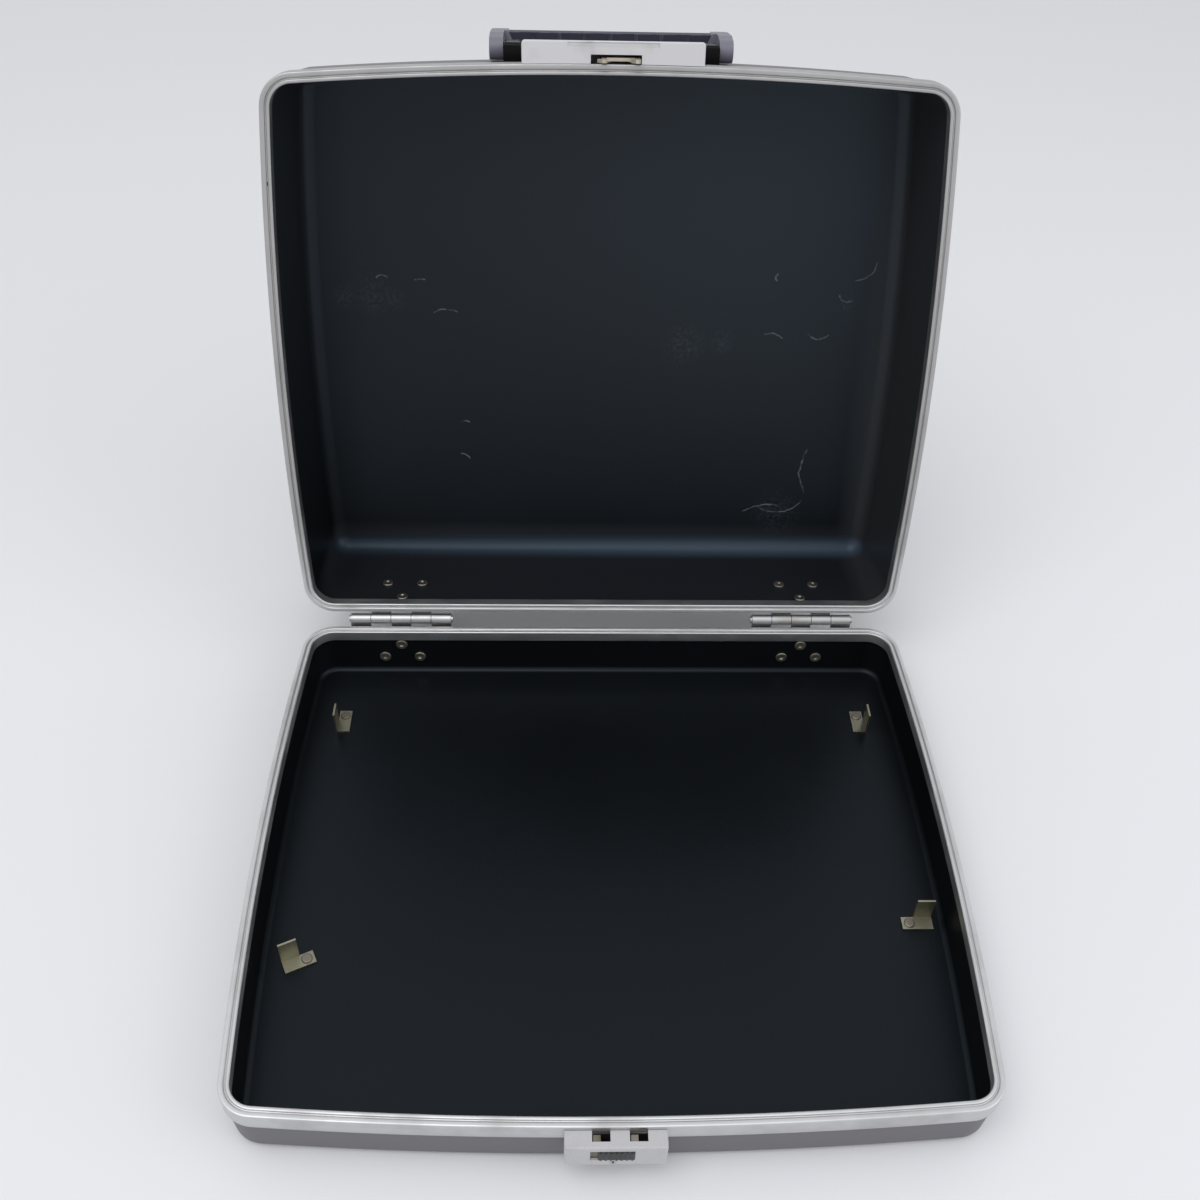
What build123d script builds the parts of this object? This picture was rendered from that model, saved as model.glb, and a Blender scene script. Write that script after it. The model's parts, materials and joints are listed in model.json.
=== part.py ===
from build123d import *
from math import cos, radians, sin, sqrt, tan
import os

os.makedirs("parts", exist_ok=True)

# Hard carrying case in two halves, open: a shallow base tray and a deep lid.
# X runs across, +Y points to the hinges, Z is up. The origin is on the table,
# under the middle of the base. All sizes are in millimetres.

# Outline of both halves, seen from above and widest a little behind the middle
case_width = 410
case_depth = 348
front_bow = 8
side_bow = 8.1
widest_point = 21
corner_radius = 20

# Heights from the seam between the halves
base_height = 41
lid_height = 83
lid_open_angle = 105
wall_draft = 3.2
base_edge_radius = 7
lid_edge_radius = 13
least_edge_radius = 1

# Moulded skins: a grey shell outside and a dark liner inside
shell_wall = 2.7
base_floor = 4.2
lid_panel = 2.0
liner_wall = 0.8
skin_gap = 0.1

# Metal rims
band_wall = 1.2
flange_wall = 1.0
band_height = 11.3
flange_height = 8
lip_thickness = 1.4
ridge_height = 0.8
outer_ridge_width = 3.0
rim_groove = 0.8
seam_gap = 0.4
rim_plug_radius = 1.1
rim_plug_front = 67

# Hinges
hinge_side_distance = 68
hinge_width = 68
hinge_tip_width = 44
hinge_reach = 5.8
hinge_rise = 1.5
barrel_radius = 3.6
barrel_pin_radius = 1.5
pin_head_radius = 2.4
pin_head_length = 1
running_gap = 0.05
knuckle_count = 5
knuckle_gap = 0.4
leaf_wall = 1.4
leaf_bend = 2.6
base_leaf_length = 30
lid_leaf_length = 37
leaf_tip_margin = 6.5
leaf_clear_height = 5.0
leaf_corner_radius = 4

# Rivets through the skins
rivet_radius = 1.6
rivet_head_radius = 3.9
rivet_tail_radius = 2.7
rivet_head_height = 1.1
rivet_head_edge = 0.65
rivet_dimple_radius = 2.0
rivet_dimple_depth = 0.8
rivet_spread = 11.9
rivet_near_height = 12.5
hole_past = 1

# Latch housing on the front of the base
housing_width = 51
housing_depth = 9.2
housing_height = 18.5
housing_drop = 3.0
housing_wall = 1.2
housing_corner = 1.6
housing_edge = 1.0
notch_width = 9
notch_depth = 5.6
notch_centre = 4.05
notch_right_room = 1
prong_pitch = 18.5
window_left = -12.7
window_width = 22.1
window_drop = 3.3
window_height = 9.3
fastener_offset = 20
fastener_drop = 14.5
boss_radius = 2.6
spacer_radius = 3.6

# Slide inside the housing
slide_travel = 3.8
slide_gap = 0.1
slide_wall = 1.2
slide_width = 27.5
lug_width = 3.6
lug_height = 2.0
lug_reach = 1.6
lug_back_room = 0.5
tab_height = 4.6
tab_back_room = 1
button_proud = 0.2
button_edge = 0.3
button_rib_count = 7
button_rib_height = 0.5
button_rib_share = 0.5
button_rib_margin = 0.6
spring_radius = 1.9
spring_wire = 0.5
spring_turns = 7
backplate_wall = 1.0

# Small key lock under the slide
plug_radius = 1.9
plug_length = 5.0
plug_drop = 15.1
plug_centre = -1.3
key_slot_width = 0.9
key_slot_length = 2.5
key_slot_depth = 1.3
plug_tail_start = 0.8
plug_tail_length = 3
plug_tail_width = 1
plug_tail_wall = 1

# Lid plate with the hasp behind it
plate_width = 102
plate_depth = 12.1
plate_height = 30
plate_lean = 7
plate_wall = 1.4
plate_corner = 2
plate_edge = 1
plate_step_width = 51
plate_step_depth = 2.4
plate_step_sink = 0.8
plate_rivet_spread = 40.8
hasp_window_width = 28.4
hasp_window_depth = 4.9
hasp_wall = 1.8
prong_width = 2.8
prong_length = 10.5
prong_barb = 2.6
prong_nose = 1.0
hasp_height = 22
hasp_rivet_height = 16
hasp_rivet_spread = 7

# Carrying handle
post_width = 10.4
post_inner = 52
post_height = 8.9
post_corner = 2
handle_base_wall = 3
handle_base_start = 31.5
handle_base_end = 51
pivot_height = 42
pivot_proud = 3.6
pivot_pin_radius = 2
pin_tip_radius = 0.5
pin_point = 3
arm_wall = 8
arm_gap = 0.3
arm_boss_radius = 6.4
bar_start = 60
bar_end = 74
bar_proud = 11.5
bar_wall = 6.0
bar_corner = 4
heel_height = 57
heel_half_width = 2
heel_gap = 0.4
grip_length = 121
grip_wall = 3.2
grip_sink = 0.8
grip_cover = 1.2
grip_slant = 3
grip_rib_count = 7
grip_rib_height = 0.8
grip_rib_width = 1.6
grip_rib_edge = 0.4
handle_rivet_inset = 4.0
handle_rivet_room = 1
handle_rivet_sink = 1

# Hold-down clips on the tray's floor
clip_wall = 1.2
clip_width = 10.5
clip_foot_length = 18
clip_foot_depth = 8
clip_height = 17
clip_rivet_reach = 8.3
clip_head_radius = 3.1
front_left_clip_side = 24.5
front_left_clip_front = 114.5
front_left_clip_turn = 25
front_right_clip_side = 19.5
front_right_clip_front = 140.2
rear_clip_side = 29
rear_clip_back = 59

half_width = case_width / 2
half_depth = case_depth / 2
hinge_offset = half_width - hinge_side_distance
rim_width = band_wall + shell_wall + liner_wall + flange_wall + 3 * skin_gap
shell_inset = band_wall + skin_gap
liner_inset = shell_inset + shell_wall + skin_gap
skins_depth = shell_wall + liner_wall + 3 * skin_gap
lip_start = seam_gap / 2 + ridge_height
lip_end = lip_start + lip_thickness
skin_start = lip_end + skin_gap
draft_slope = tan(radians(wall_draft))
plate_slope = tan(radians(plate_lean))
half_chord = half_width - side_bow
front_arc_radius = (half_chord**2 + front_bow**2) / (2 * front_bow)
side_arc_length = half_depth - front_bow + widest_point
side_arc_radius = (side_arc_length**2 + side_bow**2) / (2 * side_bow)
hinge_y = half_depth + hinge_reach
hinge_z = base_height + hinge_rise
hinge_axis = Axis((0, hinge_y, hinge_z), (1, 0, 0))

# How a round piece sits on its place: standing on it or hanging from it
standing = (Align.CENTER, Align.CENTER, Align.MIN)
hanging = (Align.CENTER, Align.CENTER, Align.MAX)


def plan(inset):
    """Outline of the case, brought in by an inset: straight back, bowed front and sides."""
    side_centre = side_arc_radius - half_width
    face = Pos(-side_centre, widest_point) * Rot(0, 0, 180) * Circle(side_arc_radius - inset)
    face &= Pos(side_centre, widest_point) * Circle(side_arc_radius - inset)
    face &= Pos(0, front_arc_radius - half_depth) * Circle(front_arc_radius - inset)
    face &= Pos(0, half_depth - inset - case_depth) * Rectangle(2 * case_width, 2 * case_depth)
    return fillet(face.vertices(), corner_radius - inset)


def ring(outer_inset, inner_inset, start, end):
    """Upright band that follows the outline between two insets and two heights."""
    return extrude(Pos(0, 0, start) * (plan(outer_inset) - plan(inner_inset)), end - start)


def tub(inset, height, edge_radius):
    """Solid block of a half: upright along the metal band, then drawn in, with a rounded far edge."""
    upright = extrude(plan(inset), band_height)
    drawn_in = extrude(Pos(0, 0, band_height) * plan(inset), height - band_height, taper=wall_draft)
    block = upright + drawn_in
    return fillet(block.edges().group_by(Axis.Z)[-1], edge_radius)


def skin(inset, wall, height, panel, edge_radius):
    """Open tray of one wall with its mouth at the seam."""
    inner_radius = max(edge_radius - wall, least_edge_radius)
    tray = tub(inset, height, edge_radius) - tub(inset + wall, height - panel, inner_radius)
    mouth = Pos(0, 0, skin_start / 2) * Box(2 * case_width, 2 * case_depth, skin_start)
    return tray - mouth


def rim():
    """Metal channel round a half's mouth: two ridges on a lip, a tall outer band, a short inner flange."""
    inner_ridge = outer_ridge_width + rim_groove
    outer = ring(0, outer_ridge_width, seam_gap / 2, lip_start)
    inner = ring(inner_ridge, rim_width, seam_gap / 2, lip_start)
    lip = ring(0, rim_width, lip_start, lip_end)
    band = ring(0, band_wall, lip_end, band_height)
    flange = ring(rim_width - flange_wall, rim_width, lip_end, flange_height)
    channel = outer + inner + lip + band + flange
    for side in (-1, 1):
        channel -= leaf_notch(side)
    return channel


def leaf_notch(side):
    """Gap in the outer band where a hinge leaf lies on the shell."""
    height = band_height + hole_past - lip_end
    width = hinge_width + 2 * knuckle_gap
    notch = Box(width, 2 * band_wall, height, align=(Align.CENTER, Align.MAX, Align.MIN))
    return Pos(side * hinge_offset, half_depth + band_wall, lip_end) * notch


def wall_inset(height):
    """How far the shell's outer face lies inside the outline at a height past the band."""
    return shell_inset + (height - band_height) * draft_slope


def back_seat(x, height):
    """Plane on the shell's back face, its normal pointing out."""
    normal = (0, cos(radians(wall_draft)), sin(radians(wall_draft)))
    return Plane((x, half_depth - wall_inset(height), height), (1, 0, 0), normal)


def front_seat(x, height):
    """Plane on the shell's bowed front face, its normal pointing out."""
    turn = x / front_arc_radius
    along = sqrt(1 - turn**2)
    sag = front_arc_radius * (1 - along)
    level = cos(radians(wall_draft))
    origin = (x, sag + wall_inset(height) - half_depth, height)
    return Plane(origin, (along, turn, 0), (turn * level, -along * level, sin(radians(wall_draft))))


def body_room(height, edge_radius):
    """Space taken by a half's outside, with a small gap, to seat a fitting on it."""
    band = extrude(plan(-skin_gap), band_height + skin_gap)
    return band + tub(shell_inset - skin_gap, height, edge_radius)


def shank(reach, clearance):
    """Rivet shank from inside the liner to a reach outside the shell."""
    body = Cylinder(rivet_radius + clearance, skins_depth + reach, align=standing)
    return Pos(0, 0, -skins_depth) * body


def rivet_head(radius):
    """Low round head that stands on its seat, rounded at its far edge."""
    disc = Cylinder(radius, rivet_head_height, align=standing)
    return fillet(disc.edges().group_by(Axis.Z)[-1], rivet_head_edge)


def rivet(reach):
    """Rivet with a dimpled head on the liner and its shank out to a reach."""
    dimple_centre = rivet_head_height + rivet_dimple_radius - rivet_dimple_depth
    head = rivet_head(rivet_head_radius) - Pos(0, 0, dimple_centre) * Sphere(rivet_dimple_radius)
    return Pos(0, 0, -skins_depth) * Rot(180, 0, 0) * head + shank(reach, 0)


def headed_rivet(reach):
    """Rivet that also has a low head outside."""
    return rivet(reach) + Pos(0, 0, reach) * rivet_head(rivet_tail_radius)


def leaf_rivet_seats(leaf_length):
    """Planes of the three rivets of each hinge leaf, in a V."""
    seats = []
    for side in (-1, 1):
        centre = side * hinge_offset
        far = leaf_length - leaf_tip_margin
        seats.append(back_seat(centre, rivet_near_height))
        seats.append(back_seat(centre - rivet_spread, far))
        seats.append(back_seat(centre + rivet_spread, far))
    return seats


def leaf_outline(leaf_length):
    """Front view of a leaf: full width at the barrel, narrower at its tip."""
    points = [
        (-hinge_width / 2, -2 * barrel_radius),
        (-hinge_width / 2, band_height),
        (-hinge_tip_width / 2, leaf_length),
        (hinge_tip_width / 2, leaf_length),
        (hinge_width / 2, band_height),
        (hinge_width / 2, -2 * barrel_radius),
    ]
    face = make_face(Polyline(*points, close=True))
    face = fillet(face.vertices().group_by(Axis.Y)[-1], leaf_corner_radius)
    return extrude(Plane.XZ * face, 2 * case_depth, both=True)


def leaf_section(barrel_height, leaf_length):
    """Side view of a leaf: off the barrel, in through the band's notch, down the shell's face."""
    tangent = hinge_reach - barrel_radius
    resting = [
        (tangent, barrel_height),
        (tangent, lip_end),
        (-shell_inset, lip_end + leaf_bend + tangent),
        (-shell_inset, band_height),
        (-wall_inset(leaf_length), leaf_length),
    ]
    outer = [(y + leaf_wall, z) for y, z in reversed(resting)]
    points = [(half_depth + y, z) for y, z in resting + outer]
    return Plane.YZ * make_face(Polyline(*points, close=True))


def leaf(side, barrel_height, leaf_length, own):
    """Hinge leaf with the knuckles whose numbers are in own."""
    plate = extrude(leaf_section(barrel_height, leaf_length), hinge_width / 2, both=True)
    plate = plate & leaf_outline(leaf_length)
    pitch = hinge_width / knuckle_count
    room_height = barrel_height + (leaf_clear_height - barrel_radius) / 2
    for index in range(knuckle_count):
        x = (index - (knuckle_count - 1) / 2) * pitch
        barrel = Pos(x, hinge_y, barrel_height) * Rot(0, 90, 0)
        if index in own:
            plate += barrel * Cylinder(barrel_radius, pitch - knuckle_gap)
            plate -= barrel * Cylinder(barrel_pin_radius + running_gap, pitch)
        else:
            room = Box(pitch + knuckle_gap, 8 * barrel_radius, leaf_clear_height + barrel_radius)
            plate -= Pos(x, hinge_y, room_height) * room
    plate = Pos(side * hinge_offset, 0, 0) * plate
    for seat in leaf_rivet_seats(leaf_length):
        plate -= seat * shank(2 * leaf_wall, skin_gap)
    return plate


def hinge_pin(side):
    """Hinge pin with a small head past each end of the barrel."""
    pin = Cylinder(barrel_pin_radius, hinge_width)
    for end in (-1, 1):
        head = Cylinder(pin_head_radius, pin_head_length)
        pin += Pos(0, 0, end * (hinge_width + pin_head_length) / 2) * head
    return Pos(side * hinge_offset, hinge_y, hinge_z) * Rot(0, 90, 0) * pin


def as_base(shape):
    """Turn a half with its mouth down at the seam into the base, mouth up."""
    return Pos(0, 0, base_height) * mirror(shape, about=Plane.XY)


def closed_lid(shape):
    """Raise a half to the seam, as the lid stands when the case is shut."""
    return Pos(0, 0, base_height) * shape


def save(shape, node):
    export_step(shape, "parts/" + node + ".step")


def save_lid(shape, node):
    """Swing a piece of the shut lid to where it rests when open, and save it."""
    save(closed_lid(shape).rotate(hinge_axis, -lid_open_angle), node)


def drill(shape, seats, reach):
    """Cut the rivet holes of a list of seats."""
    for seat in seats:
        shape -= seat * shank(reach, skin_gap)
    return shape


def group(shapes):
    return Compound(children=[s for shape in shapes for s in shape.solids()])


def seated_box(width, depth, height, x, y_front, z_top):
    """Box placed by its middle, its front face and its top face."""
    block = Box(width, depth, height, align=(Align.CENTER, Align.MIN, Align.MAX))
    return Pos(x, y_front, z_top) * block


def post(radius, y_front, y_back, x, z):
    """Round bar along Y between two depths."""
    bar = Cylinder(radius, y_back - y_front, align=standing)
    return Pos(x, y_front, z) * Rot(-90, 0, 0) * bar


# Rivet seats and the room that fittings leave for the lid
base_leaf_seats = leaf_rivet_seats(base_leaf_length)
lid_leaf_seats = leaf_rivet_seats(lid_leaf_length)
latch_rivet_height = housing_drop + fastener_drop
latch_rivet_places = (-fastener_offset, fastener_offset)
latch_seats = [front_seat(x, latch_rivet_height) for x in latch_rivet_places]
plate_rivet_height = plate_height - leaf_tip_margin
plate_seats = [front_seat(x, plate_rivet_height) for x in (-plate_rivet_spread, plate_rivet_spread)]
plate_room = plate_depth - plate_rivet_height * plate_slope + wall_inset(plate_rivet_height)
plate_rivet_reach = plate_room - 2 * plate_wall
hasp_rivet_places = (notch_centre - hasp_rivet_spread, notch_centre + hasp_rivet_spread)
hasp_seats = [front_seat(x, hasp_rivet_height) for x in hasp_rivet_places]
hasp_rivet_reach = (hasp_window_depth + hasp_wall) / 2 + shell_inset
handle_rivet_x = post_inner - rivet_head_radius - handle_rivet_room
handle_seats = []
for rivet_height in (handle_base_start + handle_rivet_inset, handle_base_end - handle_rivet_inset):
    for rivet_x in (-handle_rivet_x, handle_rivet_x):
        handle_seats.append(front_seat(rivet_x, rivet_height))
lid_room = body_room(lid_height, lid_edge_radius)

# Places of the clips on the liner's floor
floor_top = base_floor + skin_gap + liner_wall
front_left_x = front_left_clip_side - half_width
front_left_y = front_left_clip_front - half_depth
front_left_place = Pos(front_left_x, front_left_y, floor_top) * Rot(0, 0, front_left_clip_turn)
front_right_x = half_width - front_right_clip_side
front_right_place = Pos(front_right_x, front_right_clip_front - half_depth, floor_top)
rear_clip_x = half_width - rear_clip_side
rear_clip_y = half_depth - rear_clip_back
rear_left_place = Pos(-rear_clip_x, rear_clip_y, floor_top) * Rot(0, 0, 90)
rear_right_place = Pos(rear_clip_x, rear_clip_y, floor_top) * Rot(0, 0, -90)
clip_places = [
    ("front_left_clip", front_left_place, 1),
    ("front_right_clip", front_right_place, -1),
    ("rear_left_clip", rear_left_place, 1),
    ("rear_right_clip", rear_right_place, -1),
]


def clip(hand):
    """Bent strip: a foot on the floor and an upright along its back edge."""
    foot = Box(clip_foot_length, clip_foot_depth, clip_wall, align=(Align.MIN, Align.MAX, Align.MIN))
    upright = Box(clip_width, clip_wall, clip_height, align=(Align.MIN, Align.MIN, Align.MIN))
    piece = Pos(-clip_width / 2, 0, 0) * (foot + upright)
    hole = Cylinder(rivet_radius + skin_gap, 4 * clip_wall)
    piece -= Pos(clip_rivet_reach, -clip_foot_depth / 2, 0) * hole
    if hand < 0:
        return mirror(piece, about=Plane.YZ)
    return piece


def clip_rivet_seat(hand):
    """Top of a clip's foot, over its rivet."""
    return Pos(hand * clip_rivet_reach, -clip_foot_depth / 2, clip_wall)


def clip_shank(hand, clearance):
    """Shank of a clip's rivet, down into the shell's floor."""
    length = clip_wall + skin_gap + liner_wall + base_floor / 2 + clearance
    return clip_rivet_seat(hand) * Cylinder(rivet_radius + clearance, length, align=hanging)


def clip_rivet(hand):
    """Flat-headed rivet through a clip's foot."""
    return clip_shank(hand, 0) + clip_rivet_seat(hand) * rivet_head(clip_head_radius)


# Base tray
half_rim = rim()
base_shell = skin(shell_inset, shell_wall, base_height, base_floor, base_edge_radius)
base_shell = as_base(drill(base_shell, base_leaf_seats + latch_seats, hole_past))
base_liner_height = base_height - base_floor - skin_gap
base_liner_edge = base_edge_radius - shell_wall
base_liner = skin(liner_inset, liner_wall, base_liner_height, liner_wall, base_liner_edge)
base_liner = as_base(drill(base_liner, base_leaf_seats + latch_seats, hole_past))
for node, place, hand in clip_places:
    base_shell -= place * clip_shank(hand, skin_gap)
    base_liner -= place * clip_shank(hand, skin_gap)
    save(place * clip(hand), node)
save(base_shell, "base_shell")
save(base_liner, "base_liner")
save(as_base(half_rim), "base_rim")
save(group([place * clip_rivet(hand) for node, place, hand in clip_places]), "clip_rivets")

# Lid
lid_shell = skin(shell_inset, shell_wall, lid_height, lid_panel, lid_edge_radius)
lid_seats = lid_leaf_seats + plate_seats + hasp_seats + handle_seats
lid_shell = drill(lid_shell, lid_seats, hole_past)
lid_liner_height = lid_height - lid_panel - skin_gap
lid_liner_edge = lid_edge_radius - shell_wall
lid_liner = skin(liner_inset, liner_wall, lid_liner_height, liner_wall, lid_liner_edge)
lid_liner = drill(lid_liner, lid_seats, hole_past)
rim_plug_y = rim_plug_front - half_depth
side_sag = side_arc_radius - sqrt(side_arc_radius**2 - (rim_plug_y - widest_point) ** 2)
rim_plug_x = side_sag - half_width + outer_ridge_width + rim_groove / 2
rim_plug_seat = Pos(rim_plug_x, rim_plug_y, lip_start)
rim_plug = rim_plug_seat * Cylinder(rim_plug_radius, lip_thickness, align=standing)
rim_hole = rim_plug_seat * Cylinder(rim_plug_radius + skin_gap, 3 * lip_thickness)
save_lid(lid_shell, "lid_shell")
save_lid(lid_liner, "lid_liner")
save_lid(half_rim - rim_hole, "lid_rim")
save_lid(rim_plug, "lid_rim_plug")

# Hinges
base_knuckles = range(0, knuckle_count, 2)
lid_knuckles = range(1, knuckle_count, 2)
for side, place in ((-1, "left"), (1, "right")):
    base_leaf = leaf(side, -hinge_rise, base_leaf_length, base_knuckles)
    save(as_base(base_leaf), place + "_hinge_base_leaf")
    save_lid(leaf(side, hinge_rise, lid_leaf_length, lid_knuckles), place + "_hinge_lid_leaf")
    save(hinge_pin(side), place + "_hinge_pin")
save(as_base(group([seat * headed_rivet(leaf_wall) for seat in base_leaf_seats])), "base_hinge_rivets")
save_lid(group([seat * headed_rivet(leaf_wall) for seat in lid_leaf_seats]), "lid_hinge_rivets")

# Latch housing, with its top below the seam and its back against the rim
seam_top = base_height - housing_drop
front_face = -half_depth - housing_depth
inner_face = front_face + housing_wall
plate_back = -half_depth - skin_gap
slide_room = housing_depth - housing_wall - backplate_wall
spring_y = inner_face + slide_room / 2
spring_z = seam_top - window_drop - window_height / 2
rivet_z = seam_top - fastener_drop
plug_z = seam_top - plug_drop
left_prong = notch_centre - prong_pitch / 2
right_prong = notch_centre + prong_pitch / 2
slide_left = left_prong - prong_width / 2 - prong_barb - lug_width


def latch_housing():
    """Sheet-metal box, open at its back, with notches for the prongs and a window for the button."""
    full_depth = housing_depth + corner_radius
    outer = seated_box(housing_width, full_depth, housing_height, 0, front_face, seam_top)
    outer = fillet(outer.edges().filter_by(Axis.Z).group_by(Axis.Y)[0], housing_corner)
    outer = fillet(outer.faces().sort_by(Axis.Y)[0].edges(), housing_edge)
    inside_width = housing_width - 2 * housing_wall
    inside_height = housing_height - 2 * housing_wall
    inside_top = seam_top - housing_wall
    box = outer - seated_box(inside_width, full_depth, inside_height, 0, inner_face, inside_top)
    for x in latch_rivet_places:
        box += post(boss_radius, inner_face, plate_back - backplate_wall - skin_gap, x, rivet_z)
        box -= post(rivet_radius + skin_gap, inner_face, plate_back, x, rivet_z)
    box -= as_base(body_room(base_height, base_edge_radius))
    notch_front = -half_depth - notch_depth
    notch_top = seam_top + housing_wall
    for prong in (left_prong, right_prong):
        x = prong - (notch_width - prong_width) / 2 + notch_right_room
        box -= seated_box(notch_width, 2 * notch_depth, 3 * housing_wall, x, notch_front, notch_top)
    window_x = window_left + window_width / 2
    window_top = seam_top - window_drop
    box -= seated_box(window_width, 2 * housing_wall, window_height, window_x, front_face, window_top)
    box -= post(plug_radius + running_gap, front_face, inner_face, plug_centre, plug_z)
    return box


def latch_slide():
    """Slide behind the housing's face, with a lug for each prong and a tab for the spring."""
    top = seam_top - housing_wall - slide_gap
    face = inner_face + slide_gap
    lower_end = plug_z + plug_radius + 3 * slide_gap
    room = slide_room - 3 * slide_gap
    middle = slide_left + slide_width / 2
    bar = seated_box(slide_width, slide_wall, top - lower_end, middle, face, top)
    for prong in (left_prong, right_prong):
        x = prong - prong_width / 2 - prong_barb + lug_reach - lug_width / 2
        bar += seated_box(lug_width, room - lug_back_room, lug_height, x, face, top)
    tab_x = slide_left + slide_wall / 2
    tab_top = spring_z + tab_height / 2
    bar += seated_box(slide_wall, room - tab_back_room, tab_height, tab_x, face, tab_top)
    return bar


def latch_button():
    """Ribbed thumb piece on the slide, filling the right of the window."""
    width = window_width - slide_travel - 2 * slide_gap
    height = window_height - 2 * slide_gap
    left = window_left + slide_travel + slide_gap
    face = front_face - button_proud
    top = seam_top - window_drop - slide_gap
    block = seated_box(width, inner_face + slide_gap - face, height, left + width / 2, face, top)
    block = fillet(block.faces().sort_by(Axis.Y)[0].edges(), button_edge)
    pitch = width / button_rib_count
    rib_front = face - button_rib_height
    rib_top = top - button_rib_margin
    rib_length = height - 2 * button_rib_margin
    for index in range(button_rib_count):
        x = left + (index + 0.5) * pitch
        rib_depth = 2 * button_rib_height
        rib = seated_box(button_rib_share * pitch, rib_depth, rib_length, x, rib_front, rib_top)
        block += chamfer(rib.faces().sort_by(Axis.Y)[0].edges().filter_by(Axis.Z), button_edge)
    return block


def latch_spring():
    """Light compression spring between the housing's left wall and the slide."""
    start = -housing_width / 2 + housing_wall + slide_gap + spring_wire / 2
    length = slide_left - slide_gap - spring_wire / 2 - start
    coil = Helix(length / spring_turns, length, spring_radius - spring_wire / 2)
    section = Plane(coil @ 0, z_dir=coil % 0) * Circle(spring_wire / 2)
    return Pos(start, spring_y, spring_z) * Rot(0, 90, 0) * sweep(section, path=coil)


def lock_plug():
    """Key plug with its slot outside and a short tail inside."""
    plug = Cylinder(plug_radius, plug_length, align=standing)
    plug -= Box(key_slot_width, key_slot_length, 2 * key_slot_depth)
    tail_align = (Align.MAX, Align.CENTER, Align.MAX)
    tail = Box(plug_tail_length, plug_tail_width, plug_tail_wall, align=tail_align)
    plug += Pos(-plug_tail_start, 0, plug_length) * tail
    return Pos(plug_centre, front_face, plug_z) * Rot(-90, 0, 0) * plug


def latch_backplate():
    """Flat plate that closes the housing's back."""
    width = housing_width - 2 * housing_wall - 2 * skin_gap
    height = housing_height - 2 * housing_wall - 2 * skin_gap
    top = seam_top - housing_wall - skin_gap
    plate = seated_box(width, backplate_wall, height, 0, plate_back - backplate_wall, top)
    for x in latch_rivet_places:
        plate -= post(rivet_radius + skin_gap, plate_back - 2 * backplate_wall, -half_depth, x, rivet_z)
    return plate


def latch_rivet(x):
    """Rivet from the liner through the skins and the backplate into a boss of the housing."""
    middle_of_wall = wall_inset(latch_rivet_height) + shell_wall / 2 - half_depth
    outer_part = post(rivet_radius, inner_face + housing_wall, middle_of_wall, x, rivet_z)
    return as_base(front_seat(x, latch_rivet_height) * rivet(0)) + outer_part


save(latch_housing(), "latch_housing")
save(latch_backplate(), "latch_backplate")
save(latch_slide(), "latch_slide")
save(latch_button(), "latch_button")
save(latch_spring(), "latch_spring")
save(lock_plug(), "lock_plug")
save(group([latch_rivet(x) for x in latch_rivet_places]), "latch_rivets")


def seated_wedge(width, front, start, end, slope):
    """Block on the lid's front wall, deepest at the seam, its face leaning back by a slope."""
    outer = -half_depth - front
    inner = corner_radius - half_depth
    points = [(outer + start * slope, start), (outer + end * slope, end), (inner, end), (inner, start)]
    return extrude(Plane.YZ * make_face(Polyline(*points, close=True)), width / 2, both=True)


def plate_body():
    """Outside of the lid plate, with its front edges rounded."""
    body = seated_wedge(plate_width, plate_depth, seam_gap / 2, plate_height, plate_slope)
    upright = body.faces().sort_by(Axis.Y)[0].edges().filter_by(Axis.X, reverse=True)
    body = fillet(upright, plate_corner)
    return fillet(body.faces().sort_by(Axis.Y)[0].edges().filter_by(Axis.X), plate_edge)


def lid_plate():
    """Hollow plate on the lid's front, its lower face pierced for the hasp."""
    start = seam_gap / 2
    body = plate_body()
    inside_width = plate_width - 2 * plate_wall
    inside_depth = plate_depth - plate_wall
    inside_end = plate_height - plate_wall
    block = body - seated_wedge(inside_width, inside_depth, start + plate_wall, inside_end, plate_slope)
    for seat in plate_seats:
        block += (seat * Cylinder(spacer_radius, plate_depth, align=standing)) & body
    block -= lid_room
    block = drill(block, plate_seats, plate_rivet_reach + skin_gap)
    step_front = -half_depth - plate_depth + plate_step_sink
    step_top = start + plate_step_sink
    block -= seated_box(plate_step_width, plate_step_depth, 2 * plate_step_sink, 0, step_front, step_top)
    front = -half_depth - hasp_window_depth
    middle = notch_centre - prong_barb + skin_gap
    top = start + 2 * plate_wall
    block -= seated_box(hasp_window_width, 2 * hasp_window_depth, 4 * plate_wall, middle, front, top)
    return block


def prong_outline(x):
    """Front view of a barbed prong that goes down past the seam."""
    left = x - prong_width / 2
    right = x + prong_width / 2
    barb_top = -housing_drop - housing_wall - lug_height - 2 * slide_gap
    points = [
        (left, seam_gap + hasp_wall),
        (right, seam_gap + hasp_wall),
        (right, prong_nose - prong_length),
        (right - prong_nose, -prong_length),
        (left, -prong_length),
        (left - prong_barb, barb_top - prong_nose),
        (left - prong_barb, barb_top),
        (left, barb_top),
    ]
    return make_face(Polyline(*points, close=True))


def hasp():
    """Plate behind the lid plate with two barbed prongs and round spacers to the wall."""
    front = -half_depth - (hasp_window_depth + hasp_wall) / 2
    width = prong_pitch + prong_width
    plate = seated_box(width, hasp_wall, hasp_height - seam_gap, notch_centre, front, hasp_height)
    for x in (left_prong, right_prong):
        plate += Pos(0, front + hasp_wall, 0) * extrude(Plane.XZ * prong_outline(x), hasp_wall)
    spacer = Cylinder(spacer_radius, hasp_rivet_reach - hasp_wall / 2, align=standing)
    for seat in hasp_seats:
        plate += seat * spacer
    plate -= lid_room
    return drill(plate, hasp_seats, 2 * hasp_window_depth)


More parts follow.
